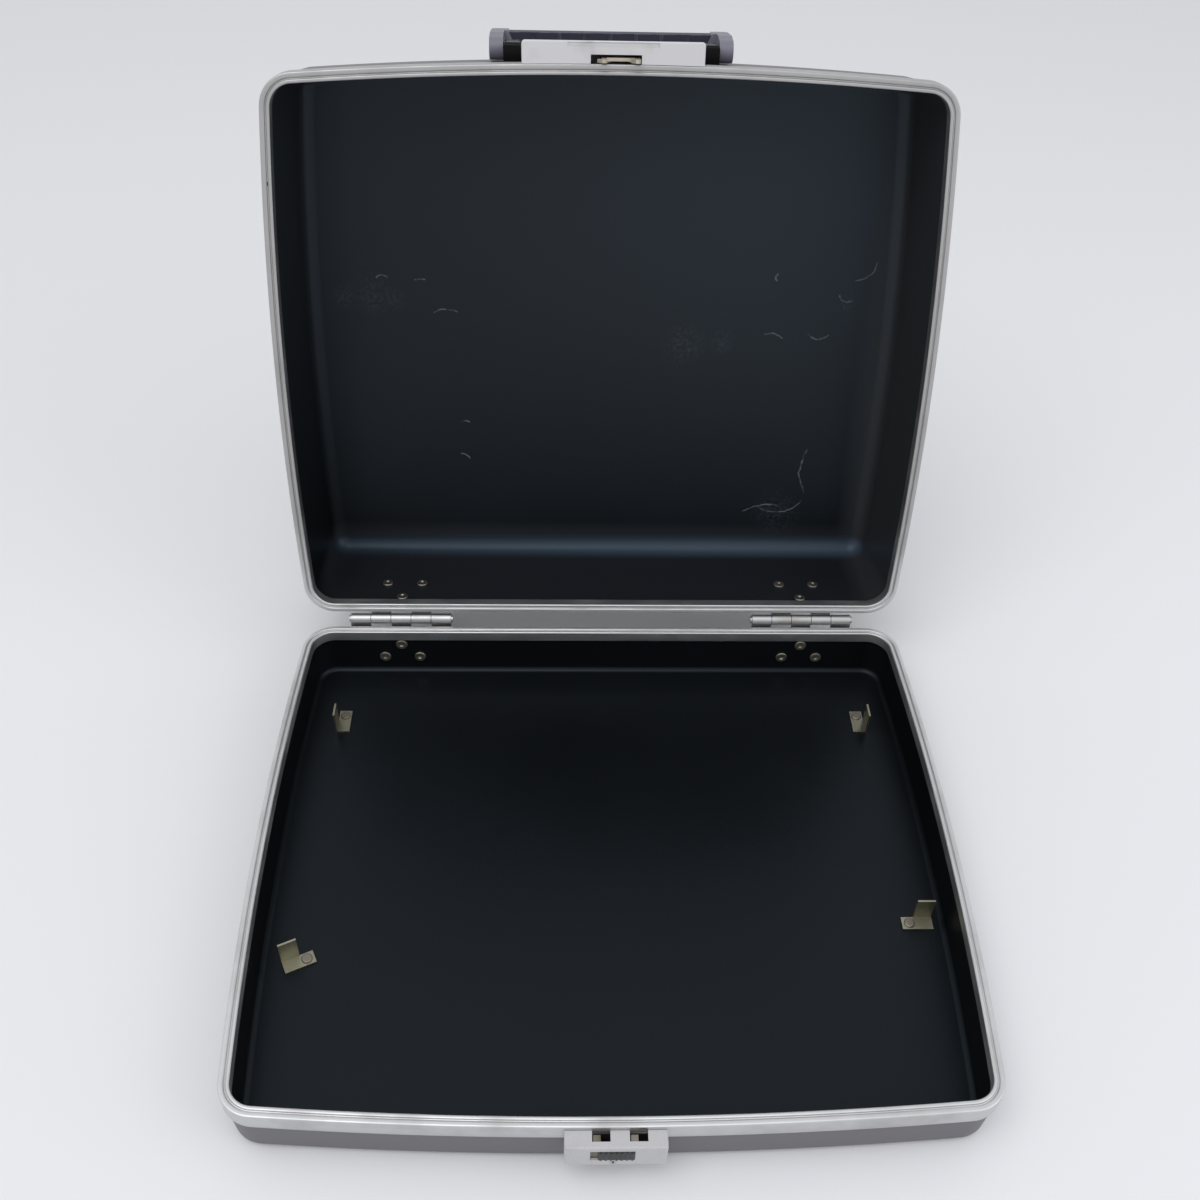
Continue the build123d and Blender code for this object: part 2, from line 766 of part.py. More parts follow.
def handle_base():
    """Moulded block on the lid's front wall, with a post at each end for the handle's pins."""
    front = handle_base_wall - wall_inset(handle_base_end)
    width = 2 * post_inner + post_width
    base = seated_wedge(width, front, handle_base_start, handle_base_end, 0)
    post_depth = post_height - shell_inset
    for side in (-1, 1):
        block = seated_wedge(post_width, post_depth, handle_base_start, handle_base_end, 0)
        block = fillet(block.faces().sort_by(Axis.Y)[0].edges(), post_corner)
        base += Pos(side * (post_inner + post_width / 2), 0, 0) * block
    base -= lid_room
    base -= pivot * Cylinder(pivot_pin_radius + running_gap, 4 * post_inner)
    return drill(base, handle_seats, 4 * handle_base_wall)


def arm_section():
    """Side view of a handle arm: a round boss at the pivot, a heel by the wall and a straight back."""
    arm_sag = (post_inner + post_width) ** 2 / (2 * front_arc_radius)
    heel = arm_sag + wall_inset(heel_height) - heel_gap - half_depth
    points = [
        (pivot_y - arm_boss_radius, pivot_height),
        (bar_face, pivot_height + arm_boss_radius),
        (bar_face, bar_end),
        (bar_face + bar_wall, bar_end),
        (bar_face + bar_wall, bar_start),
        (heel, heel_height + heel_half_width),
        (heel, heel_height - heel_half_width),
        (pivot_y, pivot_height),
    ]
    outline = make_face(Polyline(*points, close=True))
    return Plane.YZ * (outline + Pos(pivot_y, pivot_height) * Circle(arm_boss_radius))


def handle_frame():
    """Bail of the handle: an arm outside each post and a bar across their ends."""
    bar_length = 2 * (arm_inner + arm_wall)
    frame = seated_box(bar_length, bar_wall, bar_end - bar_start, 0, bar_face, bar_end)
    for x in (arm_inner, -arm_inner - arm_wall):
        frame += Pos(x, 0, 0) * extrude(arm_section(), arm_wall)
    frame = fillet(frame.edges().filter_by(Axis.Y).group_by(Axis.Z)[-1], bar_corner)
    frame -= grip_room(skin_gap)
    frame -= pivot * Cylinder(pivot_pin_radius, 2 * bar_length)
    return frame


def grip_slab(clearance, depth, height):
    """Slab behind the bar's face, its ends slanted and moved out by a clearance."""
    long_half = grip_length / 2 + clearance
    short_half = long_half - grip_slant * depth / bar_wall
    back = bar_face + depth
    points = [(-long_half, bar_face), (long_half, bar_face), (short_half, back), (-short_half, back)]
    return Pos(0, 0, bar_start) * extrude(make_face(Polyline(*points, close=True)), height)


def grip_room(clearance):
    """Room of the grip: a strip on the bar's finger side that wraps over its outer face."""
    strip = grip_slab(clearance, bar_wall, grip_wall + clearance)
    cover = grip_slab(clearance, grip_sink + grip_cover + clearance, bar_end - bar_start)
    return strip + cover


def handle_grip():
    """Soft strip round the bar, set behind the arms' faces, with ribs on its finger side."""
    past_face = bar_face - grip_sink
    grip = grip_room(0) - seated_box(2 * grip_length, 2 * grip_sink, 2 * bar_end, 0, past_face, 2 * bar_end)
    pitch = grip_length / (grip_rib_count + 1)
    rib_front = bar_face + grip_sink
    rib_depth = bar_wall - grip_sink
    rib_top = bar_start + grip_rib_height
    for index in range(grip_rib_count):
        x = (index + 1) * pitch - grip_length / 2
        rib = seated_box(grip_rib_width, rib_depth, 2 * grip_rib_height, x, rib_front, rib_top)
        grip += chamfer(rib.edges().filter_by(Axis.Y).group_by(Axis.Z)[0], grip_rib_edge)
    return grip


def handle_pin(side):
    """Pin fixed in an arm, turning in a post, with a pointed inner end."""
    pin = Cylinder(pivot_pin_radius, arm_inner + arm_wall - post_inner, align=standing)
    pin += Cone(pin_tip_radius, pivot_pin_radius, pin_point, align=hanging)
    return Pos(0, pivot_y, pivot_height) * Rot(0, 90 * side, 0) * Pos(0, 0, post_inner) * pin


arm_inner = post_inner + post_width + arm_gap
bar_face = -half_depth - bar_proud
pivot_y = -half_depth - pivot_proud
pivot = Pos(0, pivot_y, pivot_height) * Rot(0, 90, 0)
handle_rivet_reach = handle_base_wall - handle_rivet_sink
save_lid(lid_plate(), "lid_plate")
save_lid(hasp(), "lid_hasp")
save_lid(group([seat * rivet(plate_rivet_reach) for seat in plate_seats]), "lid_plate_rivets")
save_lid(group([seat * rivet(hasp_rivet_reach) for seat in hasp_seats]), "hasp_rivets")
save_lid(handle_base(), "handle_base")
save_lid(group([seat * rivet(handle_rivet_reach) for seat in handle_seats]), "handle_rivets")
save_lid(handle_frame(), "handle_frame")
save_lid(handle_grip(), "handle_grip")
save_lid(group([handle_pin(side) for side in (-1, 1)]), "handle_pins")
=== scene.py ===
"""Looks of the carrying case: smooth skins, ribbed rims, and the finish of every piece."""

import json

import bmesh
import bpy
import numpy as np
from mathutils import Matrix

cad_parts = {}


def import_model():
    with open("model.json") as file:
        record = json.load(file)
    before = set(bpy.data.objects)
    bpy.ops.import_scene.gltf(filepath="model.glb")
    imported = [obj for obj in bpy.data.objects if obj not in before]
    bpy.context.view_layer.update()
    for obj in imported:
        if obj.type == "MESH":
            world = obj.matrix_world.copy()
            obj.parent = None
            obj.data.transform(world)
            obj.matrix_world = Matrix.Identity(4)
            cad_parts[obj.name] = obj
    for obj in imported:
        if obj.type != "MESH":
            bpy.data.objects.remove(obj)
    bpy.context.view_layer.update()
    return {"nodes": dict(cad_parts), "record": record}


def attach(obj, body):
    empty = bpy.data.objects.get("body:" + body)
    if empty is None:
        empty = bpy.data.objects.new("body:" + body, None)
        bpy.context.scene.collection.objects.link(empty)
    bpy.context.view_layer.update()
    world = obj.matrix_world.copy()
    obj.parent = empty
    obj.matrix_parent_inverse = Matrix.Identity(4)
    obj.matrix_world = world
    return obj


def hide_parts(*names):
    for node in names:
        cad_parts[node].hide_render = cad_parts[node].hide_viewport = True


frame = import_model()

# Sizes in millimetres, the same as the solids have
MM = 0.001
CASE_WIDTH, CASE_DEPTH = 410, 348
SIDE_BOW, FRONT_BOW, WIDEST_POINT, CORNER_RADIUS = 8.1, 8, 21, 20
SEAM = 41
BASE_HEIGHT, LID_HEIGHT = 41, 83
OPEN_ANGLE = np.radians(105)
HINGE_Y, HINGE_Z = 179.8, 42.5
DRAFT = np.tan(np.radians(3.2))
BAND_HEIGHT, BAND_BY_LEAF = 11.3, 3.0
MOUTH = 2.5
HINGE_OFFSET, HINGE_HALF = 137, 34.4
SHELL_INSET, SHELL_WALL = 1.3, 2.7
LINING_INSET, LINING_WALL, LINING_GAP = 4.1, 0.8, 0.1
BASE_FLOOR, BASE_EDGE = 4.2, 7
LID_TOP, LID_EDGE = 2.0, 13

HALF_DEPTH = CASE_DEPTH / 2
HALF_CHORD = CASE_WIDTH / 2 - SIDE_BOW
FRONT_ARC = (HALF_CHORD**2 + FRONT_BOW**2) / (2 * FRONT_BOW)
SIDE_LENGTH = HALF_DEPTH - FRONT_BOW + WIDEST_POINT
SIDE_ARC = (SIDE_LENGTH**2 + SIDE_BOW**2) / (2 * SIDE_BOW)

# Points on each arc of the outline, and how far from a hinge leaf's end its two points stand
CORNER_POINTS, SIDE_POINTS, FRONT_POINTS = 14, 40, 24
LEAF_STEP = 0.05


# Outline of the case and surfaces carried along it


def arc_points(centre, radius, start, end, count):
    """Points on a circle, the last one left out: centre + radius (cos a, sin a), a from start to end."""
    angle = np.linspace(start, end, count, endpoint=False)[:, None]
    return np.asarray(centre) + radius * np.hstack([np.cos(angle), np.sin(angle)])


def outline(inset):
    """The case's outline brought in by an inset, clockwise from the middle of the back edge.

    Each bow is an arc that keeps its centre and loses the inset from its radius. So is each corner:
    its centre lies where circles of the bows' radii less the corner's radius cross.
    """
    side = np.array([CASE_WIDTH / 2 - SIDE_ARC, WIDEST_POINT])
    front = np.array([0.0, FRONT_ARC - HALF_DEPTH])
    reach = SIDE_ARC - CORNER_RADIUS
    back_y = HALF_DEPTH - CORNER_RADIUS
    back_corner = np.array([side[0] + np.sqrt(reach**2 - (back_y - side[1]) ** 2), back_y])
    span = front - side
    gap = np.hypot(*span)
    along = (reach**2 - (FRONT_ARC - CORNER_RADIUS) ** 2 + gap**2) / (2 * gap)
    across = np.sqrt(reach**2 - along**2)
    unit = span / gap
    front_corner = side + along * unit + across * np.array([unit[1], -unit[0]])
    small = CORNER_RADIUS - inset
    side_start = np.arctan2(*(back_corner - side)[::-1])
    side_end = np.arctan2(*(front_corner - side)[::-1])
    front_start = np.arctan2(*(front_corner - front)[::-1])
    near, far = HINGE_OFFSET - HINGE_HALF, HINGE_OFFSET + HINGE_HALF
    leaf = [near - LEAF_STEP, near + LEAF_STEP, HINGE_OFFSET, far - LEAF_STEP, far + LEAF_STEP]
    right = np.vstack(
        [
            [[x, HALF_DEPTH - inset] for x in [0, 30, 60, *leaf, far + 4]],
            arc_points(back_corner, small, np.pi / 2, side_start, CORNER_POINTS),
            arc_points(side, SIDE_ARC - inset, side_start, side_end, SIDE_POINTS),
            arc_points(front_corner, small, side_end, front_start, CORNER_POINTS),
            arc_points(front, FRONT_ARC - inset, front_start, -np.pi / 2, FRONT_POINTS),
            [[0.0, inset - HALF_DEPTH]],
        ]
    )
    left = right[1:-1][::-1] * np.array([-1, 1])
    return np.vstack([right, left])


def travel(points):
    """Distance walked along a closed loop of points, with the way back to the first one."""
    steps = np.linalg.norm(np.roll(points, -1, axis=0) - points, axis=1)
    return np.concatenate([[0], np.cumsum(steps)])


def in_base(points):
    """A half's own x, y and height from the seam, mouth up in the base."""
    return np.stack([points[..., 0], points[..., 1], SEAM - points[..., 2]], axis=-1) * MM


def in_lid(points):
    """The same, shut on the seam, then swung back about the hinge by the open angle a.

    From the hinge, y' = y cos a + z sin a and z' = z cos a - y sin a.
    """
    y = points[..., 1] - HINGE_Y
    z = points[..., 2] + SEAM - HINGE_Z
    c, s = np.cos(OPEN_ANGLE), np.sin(OPEN_ANGLE)
    return np.stack([points[..., 0], HINGE_Y + y * c + z * s, HINGE_Z - y * s + z * c], axis=-1) * MM


def make_piece(name, points, faces, uvs, body, slot, nodes, sharp=50):
    """Puts points in metres, quads and their corner UVs into a smooth mesh that rides on a body."""
    mesh = bpy.data.meshes.new(name)
    mesh.from_pydata(points.reshape(-1, 3).tolist(), [], faces.tolist())
    layer = mesh.uv_layers.new(name="surface")
    layer.data.foreach_set("uv", np.asarray(uvs, dtype=np.float32).reshape(-1))
    shape = bmesh.new()
    shape.from_mesh(mesh)
    bmesh.ops.remove_doubles(shape, verts=shape.verts, dist=1e-7)
    bmesh.ops.recalc_face_normals(shape, faces=shape.faces)
    shape.to_mesh(mesh)
    shape.free()
    mesh.shade_smooth()
    mesh.set_sharp_from_angle(angle=np.radians(sharp))
    mesh.materials.append(finishes[slot])
    obj = bpy.data.objects.new(name, mesh)
    bpy.context.scene.collection.objects.link(obj)
    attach(obj, body)
    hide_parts(*nodes)


def grid_faces(rows, columns, wrap_rows):
    """Quads of a grid of points. Its last column joins the first, and its rows do where they wrap."""
    r = np.arange(rows if wrap_rows else rows - 1)[:, None]
    c = np.arange(columns)[None, :]
    r2, c2 = (r + 1) % rows, (c + 1) % columns
    corners = (r * columns + c, r2 * columns + c, r2 * columns + c2, r * columns + c2)
    return np.stack(np.broadcast_arrays(*corners), axis=-1).reshape(-1, 4)


def grid_uvs(u, v):
    """Corner UVs of a grid's quads, from a distance along its rows and one down its columns."""
    pairs = [(slice(None, -1), slice(None, -1)), (slice(1, None), slice(None, -1))]
    pairs += [(slice(1, None), slice(1, None)), (slice(None, -1), slice(1, None))]
    corners = [np.stack([u[rows, columns], v[rows, columns]], axis=-1) for rows, columns in pairs]
    return np.stack(corners, axis=2).reshape(-1, 2)


def loft(rings, closed):
    """Joins rings round the outline into a surface: quads between neighbours, UVs in metres.

    U is the way walked along a ring, stretched to the longest one, since a panel's first ring is a
    single point. V is the way walked from ring to ring half way round.
    """
    grid = np.stack(rings)
    rows, columns = grid.shape[:2]
    half = grid[:, columns // 2]
    u = np.stack([travel(points[:, :2]) for points in rings])
    u = u / np.maximum(u[:, -1:], 1e-6) * u[:, -1].max()
    down = np.concatenate([[0], np.cumsum(np.linalg.norm(np.diff(half, axis=0), axis=-1))])
    if closed:
        u = np.vstack([u, u[:1]])
        down = np.append(down, down[-1] + np.linalg.norm(half[-1] - half[0]))
    v = np.repeat(down[:, None], columns + 1, axis=1)
    return grid, grid_faces(rows, columns, closed), grid_uvs(u * MM, v * MM)


def ring(inset, height):
    """The outline at an inset and at a height from the seam, which may change along it."""
    points = outline(inset)
    heights = np.broadcast_to(np.asarray(height, dtype=float), (len(points),))
    return np.hstack([points, heights[:, None]])


def tray_wall(inset, height, edge_radius):
    """A half's wall as (inset, height) points: upright by the band, drawn in, then round the far edge.

    The far edge's centre lies at its radius from both the drawn-in wall and the panel.
    """
    lean = np.arctan(DRAFT)
    middle = height - edge_radius
    start = middle + edge_radius * np.sin(lean)
    centre = inset + (start - BAND_HEIGHT) * DRAFT + edge_radius * np.cos(lean)
    points = [(inset, MOUTH), (inset, (MOUTH + BAND_HEIGHT) / 2)]
    for h in np.linspace(BAND_HEIGHT, start, 5)[:-1]:
        points.append((inset + (h - BAND_HEIGHT) * DRAFT, h))
    for a in np.linspace(lean, np.pi / 2, 12):
        points.append((centre - edge_radius * np.cos(a), middle + edge_radius * np.sin(a)))
    return points


def skin(inset, wall, height, panel, edge_radius):
    """A tray's closed skin: inner panel, inner wall, mouth, outer wall and outer panel, as rings.

    A panel's rings lie at shares of the way from its middle to its edge.
    """
    inner = tray_wall(inset + wall, height - panel, max(edge_radius - wall, 1))[::-1]
    outer = tray_wall(inset, height, edge_radius)
    shares = np.array([0.0, 0.2, 0.4, 0.6, 0.8, 0.93])
    panels = []
    for (edge, level), order in ((inner[0], shares), (outer[-1], shares[::-1])):
        rim = ring(edge, level)
        middle = np.array([0, 0, level])
        panels.append([middle + share * (rim - middle) for share in order])
    return panels[0] + [ring(*point) for point in inner + outer] + panels[1]


def rim_section():
    """The metal rim's section as rings, from (inset, height) points that close on themselves.

    Two rounded ridges have a groove between them, with an outer band and an inner flange. The band
    is short where a hinge leaf passes on the back edge.
    """
    at = outline(0)
    by_leaf = np.abs(np.abs(at[:, 0]) - HINGE_OFFSET) < HINGE_HALF
    foot = np.where(by_leaf & (at[:, 1] > HALF_DEPTH - 1), BAND_BY_LEAF, BAND_HEIGHT)
    outer_ridge = [(0, 2.2), (0, 0.95), (0.06, 0.62), (0.25, 0.36), (0.55, 0.23), (1.0, 0.2)]
    outer_ridge += [(2.2, 0.2), (2.6, 0.26), (2.85, 0.45), (2.97, 0.75), (3.0, 1.0)]
    groove = [(3.12, 1.12), (3.4, 1.16), (3.68, 1.12)]
    inner_ridge = [(3.8, 1.0), (3.83, 0.75), (3.95, 0.45), (4.2, 0.26), (4.6, 0.2), (5.2, 0.2)]
    inner_ridge += [(5.6, 0.27), (5.85, 0.48), (5.97, 0.8), (6.0, 1.3)]
    flange = [(6.0, 4.0), (6.0, 7.5), (5.93, 7.85), (5.75, 7.98)]
    flange += [(5.25, 7.98), (5.07, 7.85), (5.0, 7.5), (5.0, 2.6)]
    inside = [(4.8, 2.4), (1.4, 2.4), (1.2, 2.6)]
    band = [(1.2, foot - 0.3), (1.1, foot - 0.08), (0.9, foot), (0.3, foot), (0.08, foot - 0.1)]
    band += [(0, foot - 0.35), (0, (foot + 2.2) / 2)]
    return [ring(*point) for point in outer_ridge + groove + inner_ridge + flange + inside + band]


# Nodes that the finishes are built from


def place(tree, kind, inputs=None, **settings):
    """Adds a node, sets it up, and feeds its inputs with values or other nodes' sockets."""
    node = tree.nodes.new(kind)
    for key, value in settings.items():
        setattr(node, key, value)
    for key, value in (inputs or {}).items():
        if isinstance(value, bpy.types.NodeSocket):
            tree.links.new(value, node.inputs[key])
        else:
            node.inputs[key].default_value = value
    return node


def ramp(tree, value, low, high):
    """A mask that runs from 0 at low to 1 at high."""
    node = place(tree, "ShaderNodeMapRange", {"Value": value, "From Min": low, "From Max": high})
    return node.outputs["Result"]


def between(tree, value, low, high):
    """A value from low to high as the given one runs from 0 to 1."""
    node = place(tree, "ShaderNodeMapRange", {"Value": value, "To Min": low, "To Max": high})
    return node.outputs["Result"]


def maths(tree, operation, a, b):
    """What an operation makes of two numbers."""
    return place(tree, "ShaderNodeMath", {0: a, 1: b}, operation=operation).outputs[0]


def vectors(tree, operation, a, b=(0.0, 0.0, 0.0)):
    """What an operation makes of two vectors, or of one: as Vector, or as Value for a number."""
    return place(tree, "ShaderNodeVectorMath", {0: a, 1: b}, operation=operation).outputs


def noise_at(tree, vector, scale, detail=2.0):
    """Smooth noise about one half, with so many blotches to the metre."""
    inputs = {"Vector": vector, "Scale": scale, "Detail": detail}
    return place(tree, "ShaderNodeTexNoise", inputs).outputs[0]


def scaled(colour, factor):
    """A colour made darker or lighter."""
    return tuple(channel * factor for channel in colour)


def mixed(tree, mask, first, second):
    """A colour between two, by a mask."""
    inputs = {"Factor": mask}
    for key, value in ((6, first), (7, second)):
        inputs[key] = value if isinstance(value, bpy.types.NodeSocket) else (*value, 1)
    return place(tree, "ShaderNodeMix", inputs, data_type="RGBA").outputs[2]


def group(name, inputs, outputs):
    """An empty node group with float or vector inputs, and named float outputs."""
    tree = bpy.data.node_groups.new(name, "ShaderNodeTree")
    for label, kind, value in inputs:
        socket = tree.interface.new_socket(label, in_out="INPUT", socket_type="NodeSocket" + kind)
        if kind == "Float":
            socket.default_value = value
    for label in outputs:
        tree.interface.new_socket(label, in_out="OUTPUT", socket_type="NodeSocketFloat")
    return tree, tree.nodes.new("NodeGroupInput").outputs, tree.nodes.new("NodeGroupOutput").inputs


def use(tree, shared, inputs):
    """Places a shared effect in a finish with its own values."""
    return place(tree, "ShaderNodeGroup", inputs, node_tree=shared).outputs[0]


# Effects that the finishes share


def grain_group():
    """Fine moulded grain: two sizes of noise, as a height."""
    inputs = [("Vector", "Vector", None), ("Scale", "Float", 900.0)]
    tree, given, out = group("moulded_grain", inputs, ["Height"])
    fine = noise_at(tree, given["Vector"], given["Scale"])
    coarse = noise_at(tree, given["Vector"], maths(tree, "MULTIPLY", given["Scale"], 0.12), 1.0)
    height = place(tree, "ShaderNodeMath", {0: coarse, 1: 0.6, 2: fine}, operation="MULTIPLY_ADD")
    tree.links.new(height.outputs[0], out["Height"])
    return tree


def brushing_group():
    """Brushed metal: noise drawn out along one direction, as a streak value."""
    inputs = [("Vector", "Vector", None), ("Across", "Float", 2500.0), ("Along", "Float", 18.0)]
    tree, given, out = group("brushing", inputs, ["Streak"])
    scales = {"X": given["Along"], "Y": given["Across"], "Z": given["Across"]}
    size = place(tree, "ShaderNodeCombineXYZ", scales).outputs[0]
    drawn = vectors(tree, "MULTIPLY", given["Vector"], size)["Vector"]
    tree.links.new(noise_at(tree, drawn, 1.0, 3.0), out["Streak"])
    return tree


def scratch_group():
    """Short scratches: the cores of long thin cells in three directions, kept inside noisy patches."""
    inputs = [("Vector", "Vector", None), ("Scale", "Float", 300.0), ("Width", "Float", 0.06)]
    inputs.append(("Cover", "Float", 0.5))
    tree, given, out = group("short_scratches", inputs, ["Mask"])
    patch = ramp(tree, noise_at(tree, given["Vector"], 22.0), 0.5, 0.62)
    lines = 0.0
    for angle, length in ((0.35, 0.05), (1.25, 0.08), (2.3, 0.04)):
        inputs = {"Vector": given["Vector"], "Rotation": (0.26, angle, 0.0)}
        turned = place(tree, "ShaderNodeMapping", inputs).outputs[0]
        drawn = vectors(tree, "MULTIPLY", turned, (1.0, 1.0, length))["Vector"]
        cells = place(tree, "ShaderNodeTexVoronoi", {"Vector": drawn, "Scale": given["Scale"]})
        core = ramp(tree, cells.outputs["Distance"], given["Width"], 0.0)
        lines = maths(tree, "MAXIMUM", lines, core)
    kept = maths(tree, "MULTIPLY", lines, patch)
    tree.links.new(maths(tree, "MULTIPLY", kept, given["Cover"]), out["Mask"])
    return tree


def from_centre(tree, given):
    """The way from a mark's centre to a point, both seen from the front, and its length."""
    flat = vectors(tree, "MULTIPLY", given["Vector"], (1.0, 0.0, 1.0))["Vector"]
    away = vectors(tree, "SUBTRACT", flat, given["Centre"])["Vector"]
    return away, vectors(tree, "LENGTH", away)["Value"]


def rub_group():
    """One curved rub mark: a thin, wavering stretch of a circle round a centre, broken up by noise.

    Seen from the front, the mark lies where the distance from the centre is near the bend's radius
    and the way there turns less than a limit from the aim.
    """
    inputs = [("Vector", "Vector", None), ("Centre", "Vector", None), ("Bend", "Float", 0.01)]
    inputs += [("Aim", "Vector", None), ("Spread", "Float", 0.8), ("Width", "Float", 0.0008)]
    tree, given, out = group("rub_mark", inputs, ["Mask"])
    away, reach = from_centre(tree, given)
    stray = between(tree, noise_at(tree, given["Vector"], 90.0, 3.0), -0.0025, 0.0025)
    off = maths(tree, "SUBTRACT", maths(tree, "ADD", reach, stray), given["Bend"])
    line = ramp(tree, maths(tree, "ABSOLUTE", off, 0.0), given["Width"], 0.0)
    level = vectors(tree, "NORMALIZE", away)["Vector"]
    turn = vectors(tree, "DOT_PRODUCT", level, given["Aim"])["Value"]
    stretch = maths(tree, "MULTIPLY", ramp(tree, turn, given["Spread"], 1.0), 3.0)
    broken = ramp(tree, noise_at(tree, given["Vector"], 260.0, 3.0), 0.3, 0.55)
    mask = maths(tree, "MULTIPLY", line, maths(tree, "MINIMUM", stretch, 1.0))
    tree.links.new(maths(tree, "MULTIPLY", mask, broken), out["Mask"])
    return tree


def smudge_group():
    """One hazy smudge: full near a centre seen from the front, gone at a radius, dappled by noise."""
    inputs = [("Vector", "Vector", None), ("Centre", "Vector", None), ("Radius", "Float", 0.01)]
    tree, given, out = group("smudge", inputs, ["Mask"])
    near = ramp(tree, from_centre(tree, given)[1], given["Radius"], 0.0)
    dapple = ramp(tree, noise_at(tree, given["Vector"], 480.0, 5.0), 0.44, 0.8)
    tree.links.new(maths(tree, "MULTIPLY", near, dapple), out["Mask"])
    return tree


def edge_wear_group():
    """Worn edges: how far the rounded normal turns from the true one, broken up by noise."""
    inputs = [("Vector", "Vector", None), ("Radius", "Float", 0.0008), ("Amount", "Float", 1.0)]
    tree, given, out = group("edge_wear", inputs, ["Mask"])
    rounded = place(tree, "ShaderNodeBevel", {"Radius": given["Radius"]}, samples=4).outputs[0]
    true = place(tree, "ShaderNodeNewGeometry").outputs["Normal"]
    edge = ramp(tree, vectors(tree, "DOT_PRODUCT", rounded, true)["Value"], 0.985, 0.85)
    broken = ramp(tree, noise_at(tree, given["Vector"], 140.0, 3.0), 0.42, 0.6)
    mask = maths(tree, "MULTIPLY", edge, broken)
    tree.links.new(maths(tree, "MULTIPLY", mask, given["Amount"]), out["Mask"])
    return tree


def up_the_lid_group():
    """Tells the open lid from the base by height: none on the base, growing to an amount on the lid. It
    places painted light and shade on the lid.
    """
    inputs = [("Vector", "Vector", None), ("Amount", "Float", 1.0)]
    tree, given, out = group("up_the_lid", inputs, ["Mask"])
    height = place(tree, "ShaderNodeSeparateXYZ", {"Vector": given["Vector"]}).outputs["Z"]
    tree.links.new(maths(tree, "MULTIPLY", ramp(tree, height, 0.06, 0.12), given["Amount"]), out["Mask"])
    return tree


GRAIN, BRUSHING, SCRATCHES, WEAR = grain_group(), brushing_group(), scratch_group(), edge_wear_group()
RUB, SMUDGE, UP_THE_LID = rub_group(), smudge_group(), up_the_lid_group()


# Finishes


def finish(name, **constants):
    """A material with its shader; constants go straight on the shader's own sockets."""
    material = bpy.data.materials.new(name)
    material.use_nodes = True
    tree = material.node_tree
    shader = tree.nodes["Principled BSDF"]
    for key, value in constants.items():
        shader.inputs[key.replace("_", " ")].default_value = value
    return material, tree, shader


def feed(tree, shader, key, value):
    """Feeds one of the shader's inputs from another node's socket."""
    tree.links.new(value, shader.inputs[key])


def bumped(tree, shader, height, distance):
    """Feeds a height into the shader's normal through a bump."""
    node = place(tree, "ShaderNodeBump", {"Height": height, "Distance": distance, "Strength": 1.0})
    feed(tree, shader, "Normal", node.outputs[0])


def at_object(tree):
    """Where a point lies on its object, in metres."""
    return place(tree, "ShaderNodeTexCoord").outputs["Object"]


def moulded(name, colour, worn, grain, depth, roughness, scratch, specular=0.45):
    """Moulded plastic: grain, slow colour drift, short scratches and paler worn edges."""
    material, tree, shader = finish(name, Specular_IOR_Level=specular)
    where = at_object(tree)
    drift = ramp(tree, noise_at(tree, where, 9.0, 3.0), 0.3, 0.7)
    base = mixed(tree, drift, scaled(colour, 0.92), colour)
    scratches = use(tree, SCRATCHES, {"Vector": where, "Scale": 300.0, "Width": 0.06, "Cover": scratch})
    edges = use(tree, WEAR, {"Vector": where, "Radius": 0.0007, "Amount": 0.6})
    feed(tree, shader, "Base Color", mixed(tree, maths(tree, "MAXIMUM", scratches, edges), base, worn))
    feed(tree, shader, "Roughness", between(tree, drift, roughness - 0.05, roughness + 0.05))
    bumped(tree, shader, use(tree, GRAIN, {"Vector": where, "Scale": grain}), depth)
    return material


def brushed(name, colour, dark, roughness, across, along, stain, along_uv=False, lid_painted_shade=0.0):
    """Drawn or pressed metal: streaks in colour and gloss, with duller stains, and a painted shade on
    the open lid.
    """
    material, tree, shader = finish(name, Metallic=1.0)
    where = at_object(tree)
    vector = place(tree, "ShaderNodeUVMap", uv_map="surface").outputs[0] if along_uv else where
    streak = use(tree, BRUSHING, {"Vector": vector, "Across": across, "Along": along})
    stains = ramp(tree, noise_at(tree, where, 38.0, 4.0), 0.45, 0.72)
    stained = maths(tree, "MULTIPLY", stains, stain)
    toned = mixed(tree, streak, scaled(colour, 0.86), colour)
    scratches = use(tree, SCRATCHES, {"Vector": where, "Scale": 420.0, "Width": 0.07, "Cover": 0.5})
    # Painted shade: on the open lid the metal is mixed towards its dark colour
    painted_lid_shade = use(tree, UP_THE_LID, {"Vector": where, "Amount": lid_painted_shade})
    base = mixed(tree, stained, mixed(tree, painted_lid_shade, toned, dark), dark)
    feed(tree, shader, "Base Color", mixed(tree, scratches, base, scaled(colour, 0.6)))
    gloss = between(tree, streak, roughness - 0.07, roughness + 0.1)
    feed(tree, shader, "Roughness", maths(tree, "ADD", gloss, maths(tree, "MULTIPLY", stained, 0.4)))
    bumped(tree, shader, streak, 0.00002)
    return material


# Marks on the lid's lining, seen from the front, in millimetres and degrees. A rub mark has the
# x and z of its bend's centre, its bend radius, its aim and half its turn, a smudge a radius alone.
RUBS = [
    (-147, 222, 7, 90, 35),
    (-106, 190, 18, 90, 28),
    (-122, 205, 22, 90, 10),
    (116, 231, 3, 180, 70),
    (166, 244, 15, -50, 40),
    (163, 221, 6, -110, 65),
    (146, 200, 10, -100, 60),
    (113, 180, 14, 80, 30),
    (178, 97, 36, 180, 28),
    (127, 90, 24, -80, 45),
    (120, 44, 28, 100, 30),
    (-95, 122, 10, 90, 20),
    (-98, 100, 8, 70, 30),
]
SMUDGES = [
    (-154, 217, 16),
    (-172, 216, 10),
    (-140, 214, 9),
    (55, 186, 17),
    (80, 188, 10),
    (127, 66, 20),
    (162, 214, 8),
]
RUB_WIDTH = 0.65
HAZE = 0.28


